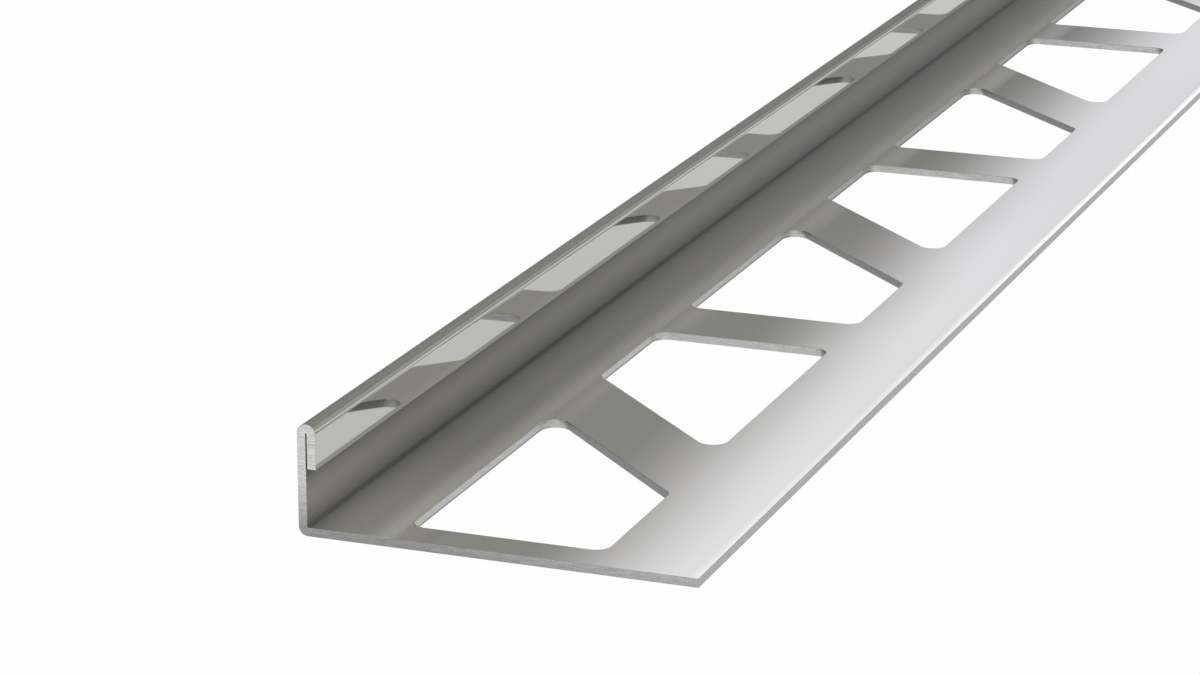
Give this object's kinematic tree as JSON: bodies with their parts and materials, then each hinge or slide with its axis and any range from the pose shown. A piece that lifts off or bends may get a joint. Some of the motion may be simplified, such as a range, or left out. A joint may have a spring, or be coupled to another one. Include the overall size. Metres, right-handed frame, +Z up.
{
  "type": "tile edge trim",
  "caption": "Straight tile edge trim folded from thin polished stainless sheet: a hemmed upright edge and a flat anchoring leg pierced by trapezoid holes.",
  "frame": {"origin": "middle of the resting footprint, on the underside of the anchoring leg", "axes": "+X along the strip, away from the end that the picture shows; +Y towards the visible face of the upright; +Z up, from the anchoring leg to the hemmed edge"},
  "size_m": [1, 0.036, 0.01],
  "materials": {
    "stainless": "mirror polished"
  },
  "bodies": {
    "root": {"trim_profile": "stainless"}
  },
  "joints": []
}
